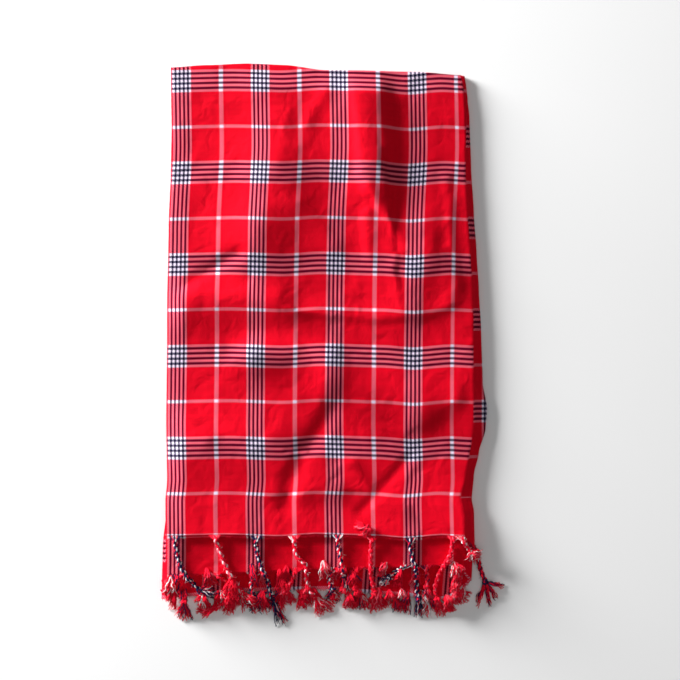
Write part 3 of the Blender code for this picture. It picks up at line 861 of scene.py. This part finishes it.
def surface(x, y):
    """Top of the cloth at a place, or the floor where there is none."""
    hit = cloth_tree.ray_cast(Vector((x, y, RAY_HEIGHT)), Vector((0, 0, -1)))[0]
    return hit.z if hit else FLOOR_HEIGHT


print("top of the cloth at the middle of the end, mm:", round(surface(270, 10), 1))


# %% How high a cord lies
def rest(x, y, radius, laid, hidden):
    """Lowest centre height at which a cord clears the cloth and the cords that lie there."""
    under = FLOOR_HEIGHT
    if not hidden:
        sides = ((0, 0), (1, 0), (-1, 0), (0, 1), (0, -1))
        under = max(surface(x + dx * radius, y + dy * radius) for dx, dy in sides)
    height = under + radius + REST_GAP
    for centre, other in laid:
        reach = radius + other
        apart = hypot(x - centre.x, y - centre.y)
        if apart < reach:
            height = max(height, centre.z + sqrt(reach * reach - apart * apart))
    return height


def lay(path, radius, laid, hidden):
    """3-D points of a cord over a plan path: no dip between two supports, and no sharp step."""
    heights = [rest(x, y, radius, laid, hidden) for x, y in path]
    heights = [max(heights[max(0, i - 1) : i + 2]) for i in range(len(heights))]
    points = []
    for i, (x, y) in enumerate(path):
        near = heights[max(0, i - 1) : i + 2]
        points.append(Vector((x, y, max(heights[i], sum(near) / len(near)))))
    return points


print("a thin cord on the front layer lies at, mm:", round(rest(270, 100, 1.0, [], False), 1))

# %% Yarns of a cord, twisted in two plies: sizes in mm, and shares of the cord's radius
PLY_PITCH = 21.0
YARN_PITCH = 9.0
YARN_STEP = 2.0
CORD_RADIUS = 5.2
PLY_SHARE = 0.46
YARN_SHARE = 0.27
SINGLE_PLY_SHARE = 0.5
GATHERED_SHARE = 0.55
GATHER_POINTS = 6
YARNS_PER_PLY = 3


def twist(centre_line, radius, dyes):
    """Six yarns in two plies, or three yarns in one. Each run is (points, radii, dye)."""
    two_plies = len(dyes) > YARNS_PER_PLY
    ply_offset = radius * PLY_SHARE if two_plies else 0.0
    yarn_radius = radius * (YARN_SHARE if two_plies else SINGLE_PLY_SHARE)
    runs = [([], [], dye) for dye in dyes]
    length = 0.0
    for i, centre in enumerate(centre_line):
        ahead = centre_line[min(i + 1, len(centre_line) - 1)] - centre_line[max(i - 1, 0)]
        across = ahead.cross(Vector((0, 0, 1))).normalized()
        upward = across.cross(ahead).normalized()
        length += ahead.length / 2
        gather = blend(GATHERED_SHARE, 1.0, smooth(i, 0, GATHER_POINTS))
        for k, (points, radii, _dye) in enumerate(runs):
            ply_turn = 2 * pi * length / PLY_PITCH + pi * (k // YARNS_PER_PLY)
            yarn_turn = -2 * pi * length / YARN_PITCH + 2 * pi * (k % YARNS_PER_PLY) / YARNS_PER_PLY
            right = ply_offset * cos(ply_turn) + yarn_radius * cos(yarn_turn)
            high = ply_offset * sin(ply_turn) + yarn_radius * sin(yarn_turn)
            points.append(centre + (across * right + upward * high) * gather)
            radii.append(yarn_radius * gather)
    return runs


print("turns of a 100 mm cord, plies and yarns:", round(100 / PLY_PITCH, 1), round(100 / YARN_PITCH, 1))

# %% A knot: a trefoil of two yarns side by side, in shares of the knot's radius
KNOT_STEPS = 36
KNOT_TILT = (0.3, 0.2)
KNOT_LOOP_SHARES = (0.24, 0.19)
KNOT_YARN_SHARE = 0.3


def trefoil(t):
    return Vector((sin(t) + 2 * sin(2 * t), cos(t) - 2 * cos(2 * t), -1.5 * sin(3 * t)))


def tie(centre, radius, dyes, chance):
    runs = []
    turned = chance.uniform(0, 2 * pi)
    for dye, share in zip(dyes, KNOT_LOOP_SHARES):
        points = []
        for i in range(KNOT_STEPS + 1):
            loop = trefoil(2 * pi * i / KNOT_STEPS)
            loop.rotate(Euler((*KNOT_TILT, turned)))
            points.append(centre + loop * radius * share)
        runs.append((points, [radius * KNOT_YARN_SHARE] * len(points), dye))
    return runs


print("a loop of a knot starts at:", [round(value, 1) for value in trefoil(0)])

# %% [markdown]
# ## Brushes and loose fibres
#
# Past its knot the yarn untwists into a brush of wavy strands. Hair particles could make it, but they can't
# be told to lie on the layers below. Each strand is a short curve instead, with eight points, that leans,
# waves and lifts a little by chance. A fixed seed keeps the same strands in every run.

# %% Loose yarn of a brush, in mm
STRAND_POINTS = 8
STRAND_RADIUS = 0.8
STRAND_RADIUS_RANGE = (0.7, 1.3)
STRAND_TIP_SHARE = 0.6
STRAND_LENGTH_RANGE = (0.4, 1.08)
FEWEST_STRANDS = 12
STRANDS_PER_SPREAD = 4
WAVE_RANGE = (0.8, 3.6)
PACE_RANGE = (6, 18)
CURL_SHARE = 0.4
KNOT_SPREAD = 1.6
SPREAD_POWER = 0.75
SETTLING = 1.0
LEAST_LIFT = 0.6
MORE_LIFT = 7.0
BRUSH_RADIUS = 1.6
BRUSH_TOP = 38.0


def strand(start, reach, side, spread, base, chance):
    """One wavy strand from a knot towards a tip, no lower than what it lies on."""
    lean = chance.uniform(-1, 1)
    share = chance.uniform(*STRAND_LENGTH_RANGE)
    wave, pace, phase = chance.uniform(*WAVE_RANGE), chance.uniform(*PACE_RANGE), chance.uniform(0, 2 * pi)
    lift = MORE_LIFT * chance.random() ** 2 + LEAST_LIFT
    begin = Vector([chance.uniform(-KNOT_SPREAD, KNOT_SPREAD) for _axis in range(3)])
    points = []
    for i in range(STRAND_POINTS):
        f = share * i / (STRAND_POINTS - 1)
        sway = lean * spread * f**SPREAD_POWER + wave * sin(phase + pace * f) * sqrt(f)
        low = base[min(STRAND_POINTS - 1, round(f * (STRAND_POINTS - 1)))]
        curl = CURL_SHARE * wave * cos(pace * f + phase) * f
        high = low + (start.z - base[0]) * (1 - f) ** 2 + lift * sin(pi * min(1.0, f)) + curl
        place = start + reach * f + side * sway + begin * (1 - f)
        points.append(Vector((place.x, place.y, min(BRUSH_TOP, max(low - SETTLING, high)))))
    return points


def fray(start, tip, spread, dyes, laid, hidden, chance):
    """Strands from a knot to round about a tip. Wide locks get more of them."""
    reach = Vector((tip[0] - start.x, tip[1] - start.y, 0))
    side = Vector((reach.y, -reach.x, 0)).normalized()
    stations = [start.xy + reach.xy * i / (STRAND_POINTS - 1) for i in range(STRAND_POINTS)]
    base = [point.z for point in lay([tuple(s) for s in stations], BRUSH_RADIUS, laid, hidden)]
    runs = []
    for _ in range(FEWEST_STRANDS + STRANDS_PER_SPREAD * spread):
        points = strand(start, reach, side, spread, base, chance)
        thick = STRAND_RADIUS * chance.uniform(*STRAND_RADIUS_RANGE)
        radii = [thick * blend(1.0, STRAND_TIP_SHARE, i / (STRAND_POINTS - 1)) for i in range(STRAND_POINTS)]
        runs.append((points, radii, chance.choice(dyes)))
    return runs


print("strands in a lock that spreads 10 mm:", FEWEST_STRANDS + 10 * STRANDS_PER_SPREAD)

# %% Fine fibres that stand off a cord, and teased tufts at the foot of the fringe, in mm
FIBRE_STEPS = (0.0, 0.35, 0.7, 1.0)
FIBRE_RADII = [0.2, 0.2, 0.16, 0.1]
FIBRE_ROOT_SHARE = 0.7
FIBRE_REACH_RANGE = (0.6, 1.3)
FIBRE_RISE_RANGE = (0.0, 0.8)
FIBRE_BEND = 2.2
FIBRE_BEND_RISE_RANGE = (-0.2, 0.4)
TUFT_RADIUS = 2.0
TUFT_LEAN = 9
TUFT_SPREAD_RANGE = (7, 17)


def fuzz(centre_line, radius, dyes, count, chance):
    runs = []
    for _ in range(count):
        start = chance.choice(centre_line)
        away = Vector((chance.uniform(-1, 1), chance.uniform(-1, 1), chance.uniform(*FIBRE_RISE_RANGE)))
        bend = Vector((chance.uniform(-1, 1), chance.uniform(-1, 1), chance.uniform(*FIBRE_BEND_RISE_RANGE)))
        away.normalize()
        bend *= FIBRE_BEND
        far = chance.uniform(*FIBRE_REACH_RANGE)
        points = [start + away * radius * (FIBRE_ROOT_SHARE + far * f) + bend * f * f for f in FIBRE_STEPS]
        runs.append((points, FIBRE_RADII, chance.choice(dyes)))
    return runs


def tuft(x, y, reach, dyes, laid, chance):
    """A soft clump of teased yarn, with no knot."""
    start = Vector((x, y, rest(x, y, TUFT_RADIUS, laid, False)))
    tip = (x + chance.uniform(-TUFT_LEAN, TUFT_LEAN), y - reach)
    return fray(start, tip, chance.randint(*TUFT_SPREAD_RANGE), dyes, laid, False, chance)


print("points in a fibre:", len(FIBRE_STEPS))

# %% Yarns that gather from the layer's end into the root of a cord, in mm
ROOT_YARNS = 9
ROOT_YARN_PITCH = 2.6
ROOT_YARN_SHIFT = 0.8
ROOT_YARN_RADIUS = 0.75
ROOT_YARN_START = Vector((0, 1.5, 0.3))
ROOT_YARN_SAG = Vector((0, -1.0, 0.4))
ROOT_YARN_BEND = 0.4
ROOT_POINT = 5
print("width of a root, mm:", ROOT_YARN_PITCH * (ROOT_YARNS - 1))


def root_yarns(level, root, fine_line, dyes, chance):
    runs = []
    onto = fine_line[min(ROOT_POINT, len(fine_line) - 1)]
    for k in range(ROOT_YARNS):
        across = ROOT_YARN_PITCH * (k - ROOT_YARNS // 2) + chance.uniform(-ROOT_YARN_SHIFT, ROOT_YARN_SHIFT)
        begin = end_point(level, root.x + across) + ROOT_YARN_START
        points = [begin, begin.lerp(onto, ROOT_YARN_BEND) + ROOT_YARN_SAG, onto]
        runs.append((points, [ROOT_YARN_RADIUS] * len(points), chance.choice(dyes)))
    return runs


# %% A whole tassel: steps and insets in mm, and shares of the cord's radius
CORD_STEP = 2 * YARN_STEP
ROOT_INSET = 1.0
LEAVING_POINTS = 5
KNOT_SHARE = 1.3
KNOT_SINK = 0.8


def tassel_runs(tassel, radius, level, laid, chance):
    """All yarn of one tassel, as thick runs and fine runs, and what it adds to the heap."""
    dyes, route, locks = tassel
    hidden = level == 0
    root = end_point(level, route[0][0])
    path = along(((root.x, root.y + ROOT_INSET), *route[1:]), CORD_STEP)
    centre_line = lay(path, radius, laid, hidden)
    for i, point in enumerate(centre_line):
        point.z = blend(max(root.z, FLOOR_HEIGHT + radius), point.z, smooth(i, 0, LEAVING_POINTS))
    fine_line = [Vector(point) for point in along([tuple(p) for p in centre_line], YARN_STEP)]
    knot = radius * KNOT_SHARE
    end = centre_line[-1].copy()
    end.z = max(end.z, rest(end.x, end.y, knot * KNOT_SINK, laid, hidden))
    thick = twist(fine_line, radius, dyes) + tie(end, knot, (dyes[0], dyes[-2]), chance)
    fine = fuzz(fine_line, radius, dyes, len(fine_line), chance)
    for tip, spread in locks:
        fine += fray(end, tip, spread, dyes, laid, hidden, chance)
    fine += root_yarns(level, root, fine_line, dyes, chance)
    return thick, fine, [(point, radius) for point in centre_line] + [(end, knot)]


print("knot of a thick cord, mm across:", round(2 * KNOT_SHARE * CORD_RADIUS, 1))

# %% Short cut warp ends, all along a layer's end, in mm
CUT_STEPS = (0.0, 0.5, 1.0)
CUT_RADII = [0.42, 0.42, 0.3]
CUT_LENGTH_RANGE = (2.0, 5.0)
CUT_LEAN = 1.2
CUT_DROOP = 0.15
CUT_PITCH_RANGE = (1.3, 2.1)
CUT_MARGIN = 0.5
CUT_ROOT = 0.8
CUT_RISE_RANGE = (-0.2, 0.3)


def warp_dye(across):
    """Dye of the warp end at a place across the flat cloth, as the plaid has it."""
    half = WARP["repeat"] / MM / 2
    away = abs((across - WARP["centre"] / MM + half) % (2 * half) - half)
    if away < WARP["half"] / MM:
        return "wn"[int(away / (WARP["line"] / MM) + 0.5) % 2]
    return "w" if away > half - WARP["single"] / MM else "r"


def frayed_end(level, chance):
    runs = []
    line = end_lines[level]
    x = line[0].x + CUT_MARGIN
    while x < line[-1].x - CUT_MARGIN:
        start = end_point(level, x) + Vector((0, CUT_ROOT, chance.uniform(*CUT_RISE_RANGE)))
        far = chance.uniform(*CUT_LENGTH_RANGE)
        lean = chance.uniform(-CUT_LEAN, CUT_LEAN)
        droop = 0.0 if level == 0 else -CUT_DROOP * far
        points = [start + Vector((lean * f * f, -far * f, droop * f * f)) for f in CUT_STEPS]
        across = x - line[0].x if level > 1 else CLOTH_WIDTH - (x - line[0].x)
        runs.append((points, CUT_RADII, warp_dye(across)))
        x += chance.uniform(*CUT_PITCH_RANGE)
    return runs


print("dyes of the first warp ends:", "".join(warp_dye(across) for across in range(0, 60, 2)))


# %% [markdown]
# ## From runs of yarn to four fringes
#
# A curve with a round bevel is the quickest way to make a thread, and one curve can hold hundreds of them,
# each with its own dye. The curves of a row are turned into one mesh, which replaces that row's solid.

# %% Yarn runs to meshes
def yarn_mesh(name, runs, resolution):
    """One curve of many yarns, made a mesh. A bevel resolution of 0 gives four sides, and 1 gives six."""
    curve = bpy.data.curves.new(name, "CURVE")
    curve.dimensions = "3D"
    curve.bevel_depth = MM
    curve.bevel_resolution = resolution
    curve.use_fill_caps = True
    for material in yarns:
        curve.materials.append(material)
    for points, radii, dye in runs:
        spline = curve.splines.new("POLY")
        spline.points.add(len(points) - 1)
        places = [point * MM + corner for point in points]
        spline.points.foreach_set("co", [value for place in places for value in (*place, 1.0)])
        spline.points.foreach_set("radius", radii)
        spline.material_index = list(YARN_DYES).index(dye)
    guide = bpy.data.objects.new(name + "_guide", curve)
    bpy.context.scene.collection.objects.link(guide)
    bpy.context.view_layer.update()
    mesh = bpy.data.meshes.new_from_object(guide.evaluated_get(bpy.context.evaluated_depsgraph_get()))
    bpy.data.objects.remove(guide)
    return mesh


def yarn_object(name, thick, fine):
    """Thick and fine yarn of one row of tassels, as one object with a material for each dye."""
    made = []
    for runs, resolution in ((thick, 1), (fine, 0)):
        piece = bpy.data.objects.new(name, yarn_mesh(name, runs, resolution))
        bpy.context.scene.collection.objects.link(piece)
        made.append(piece)
    with bpy.context.temp_override(active_object=made[0], selected_editable_objects=made):
        bpy.ops.object.join()
    made[0].name = name
    made[0].data.shade_smooth()
    return made[0]


print("dyes of the yarn:", list(YARN_DYES))

# %% Rows of the fringe, from the lowest layer up: (solid, level, tassels, radius of their cords in mm)
FRINGE_ROWS = (
    ("fringe_under", 0, UNDER_TASSELS, 2.6),
    ("fringe_third", 1, THIRD_TASSELS, 3.45),
    ("fringe_second", 2, SECOND_TASSELS, CORD_RADIUS),
    ("fringe_front", 3, FRONT_TASSELS + CURLED_TASSELS, CORD_RADIUS),
)
TUFTS = {1: 31, 2: 18}
TUFT_SPAN = (10, 540)
TUFT_SHIFT = (-6, 14)
TUFT_JITTER = (-0.3, 1.3)
TUFT_REACH_RANGE = (18, 42)
TUFT_DYES = ("rrrr", "rrrp", "rrrn", "rrpw")
print("tassels:", sum(len(row[2]) for row in FRINGE_ROWS), "tufts:", sum(TUFTS.values()))


# %% Tufts of one row
def row_tufts(level, laid, chance):
    """Tufts spread along a layer's end, at uneven distances."""
    runs = []
    count = TUFTS.get(level, 0)
    for k in range(count):
        x = blend(*TUFT_SPAN, (k + chance.uniform(*TUFT_JITTER)) / count)
        y = end_point(level, x).y + chance.uniform(*TUFT_SHIFT)
        reach = chance.uniform(*TUFT_REACH_RANGE)
        runs += tuft(x, y, reach, chance.choice(TUFT_DYES), laid, chance)
    return runs


print("tufts by level:", TUFTS)

# %% The four rows of tassels
SEED = 7

chance = random.Random(SEED)
laid = []
for node, level, tassels, radius in FRINGE_ROWS:
    thick, fine = [], frayed_end(level, chance)
    for tassel in tassels:
        more_thick, more_fine, added = tassel_runs(tassel, radius, level, laid, chance)
        thick += more_thick
        fine += more_fine
        laid += added
    fine += row_tufts(level, laid, chance)
    piece = yarn_object(node.replace("fringe", "tassels"), thick, fine)
    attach(piece, "root")
    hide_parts(node)
    triangles = sum(face.loop_total - 2 for face in piece.data.polygons)
    top = max(vertex.co.z for vertex in piece.data.vertices)
    print(piece.name, "triangles:", triangles, "top, mm:", round(top / MM, 1))

# %% [markdown]
# ## Floor and light
#
# The floor is a matt painted board. It scatters light evenly, so it shows soft shadows and no shine. One
# large lamp stands low at the upper left, so the creases have a bright side and a dark side. A wide lamp
# above fills the shade, and a pale sky keeps the floor white.

# %% Floor
FLOOR_SIDE = 6.0
FLOOR_DROP = 0.2 * MM

bpy.ops.mesh.primitive_plane_add(size=FLOOR_SIDE, location=(0, 0, -FLOOR_DROP))
floor = bpy.context.object
floor.name = "floor"
floor_material, floor_tree, floor_shader = new_material("Matt white board")
floor_shader.inputs["Base Color"].default_value = linear("#FBFBFB")
floor_shader.inputs["Roughness"].default_value = 0.95
floor_shader.inputs["Specular IOR Level"].default_value = 0.0
floor.data.materials.append(floor_material)
print("floor side, m:", FLOOR_SIDE)

# %% Lamps: (name, place in m, side in m, power in W)
LAMPS = (
    ("Key lamp, upper left", (-4.0, 2.5, 1.05), 1.9, 860.0),
    ("Fill lamp above", (0.6, -0.5, 4.0), 3.0, 24.0),
)
for name, place, side, power in LAMPS:
    lamp_data = bpy.data.lights.new(name, "AREA")
    lamp_data.shape = "SQUARE"
    lamp_data.size = side
    lamp_data.energy = power
    lamp = bpy.data.objects.new(name, lamp_data)
    lamp.location = place
    lamp.rotation_euler = (-Vector(place)).to_track_quat("-Z", "Y").to_euler()
    bpy.context.scene.collection.objects.link(lamp)
print("lamps:", len(bpy.data.lights))

# %% Sky
SKY_STRENGTH = 0.16

world = bpy.data.worlds.new("Pale sky")
world.use_nodes = True
world.node_tree.nodes["Background"].inputs["Color"].default_value = (1.0, 1.0, 1.0, 1.0)
world.node_tree.nodes["Background"].inputs["Strength"].default_value = SKY_STRENGTH
bpy.context.scene.world = world
bpy.context.scene.view_settings.view_transform = "Standard"
print("sky strength:", SKY_STRENGTH)
